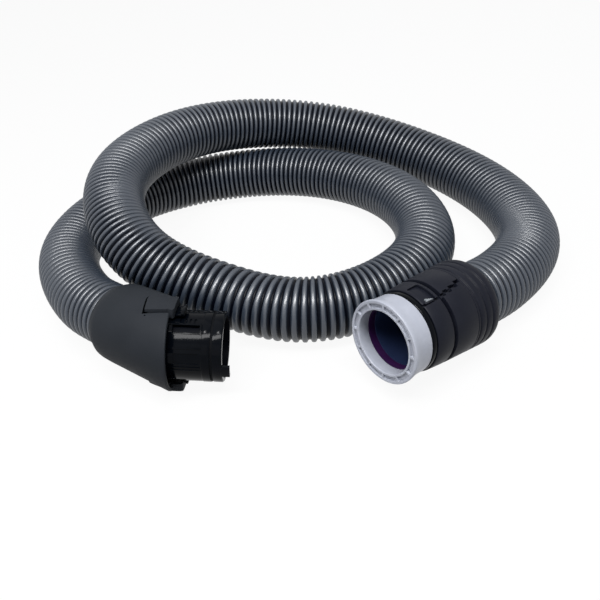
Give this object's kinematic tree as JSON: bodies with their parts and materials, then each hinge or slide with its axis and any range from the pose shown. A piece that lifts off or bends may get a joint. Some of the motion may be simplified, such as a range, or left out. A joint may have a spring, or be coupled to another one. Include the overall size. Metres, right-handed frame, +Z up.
{
  "type": "vacuum cleaner hose",
  "caption": "Ribbed suction hose of a canister vacuum cleaner, with a bent swivelling machine connector with release buttons and a swivelling handle collar.",
  "frame": {"origin": "on the floor under the centre of the two end fittings' common box, with the hose left out", "axes": "+Z up from the floor; +X along the line of the two end fittings, from the machine connector to the handle collar; +Y away from the viewer, to the side on which the hose's loops lie"},
  "size_m": [0.4006, 0.3511, 0.1026],
  "materials": {
    "hose_plastic": "satin, closely ribbed",
    "shell_plastic": "fine matte grain",
    "gloss_black": "polished",
    "inner_plastic": "smooth matte",
    "grip_plastic": "satin",
    "white_plastic": "milky satin",
    "plum_plastic": "satin",
    "light_grey_plastic": "satin",
    "bearing_plastic": "smooth",
    "seal_rubber": "matte",
    "spring_steel": "bright drawn wire",
    "pin_steel": "bright",
    "clip_plastic": "smooth"
  },
  "bodies": {
    "hose_line": {"hose": "hose_plastic", "machine_sleeve": "inner_plastic", "handle_sleeve": "inner_plastic"},
    "connector": {"shell_upper": "shell_plastic", "shell_lower": "shell_plastic", "duct": "inner_plastic", "spigot_cage": "gloss_black", "spigot_seal": "seal_rubber", "machine_bush": "bearing_plastic", "machine_clip": "clip_plastic", "machine_seal": "seal_rubber", "bulkhead": "inner_plastic", "spring_top": "spring_steel", "spring_bottom": "spring_steel", "pin_top": "pin_steel", "pin_bottom": "pin_steel"},
    "release_button_top": {"button_top": "shell_plastic"},
    "release_button_bottom": {"button_bottom": "shell_plastic"},
    "handle_end": {"grip_cuff": "grip_plastic", "collar_left": "grip_plastic", "collar_right": "grip_plastic", "core": "inner_plastic", "front_ring": "grip_plastic", "lip_ring": "gloss_black", "bearing_ring": "white_plastic", "liner": "plum_plastic", "handle_bush": "bearing_plastic", "handle_clip": "clip_plastic", "handle_seal": "seal_rubber", "catch_spring": "spring_steel"},
    "handle_catch": {"catch": "light_grey_plastic"}
  },
  "joints": [
    {"name": "machine_swivel", "type": "hinge", "parent": "hose_line", "child": "connector", "pos_m": [-0.0967, 0.0201, 0.0315], "axis": [0.741, -0.6715, 0], "continuous": true},
    {"name": "handle_swivel", "type": "hinge", "parent": "hose_line", "child": "handle_end", "pos_m": [0.0958, -0.0039, 0.0325], "axis": [-0.8166, -0.56, 0.14], "continuous": true},
    {"name": "top_button_press", "type": "hinge", "parent": "connector", "child": "release_button_top", "pos_m": [-0.08421, 0.00665, 0.05591], "axis": [0.0874, 0.9866, -0.1378], "range_deg": [0, 3.5], "stiffness_Nm_per_rad": 0.2, "deforming": ["spring_top"]},
    {"name": "bottom_button_press", "type": "hinge", "parent": "connector", "child": "release_button_bottom", "pos_m": [-0.09133, 0.00087, 0.01001], "axis": [-0.0874, -0.9866, 0.1378], "range_deg": [0, 3.5], "stiffness_Nm_per_rad": 0.2, "deforming": ["spring_bottom"]},
    {"name": "catch_press", "type": "slide", "parent": "handle_end", "child": "handle_catch", "axis": [-0.193, 0.0364, -0.9805], "range_m": [0, 0.0012], "stiffness_N_per_m": 300, "deforming": ["catch_spring"]}
  ]
}
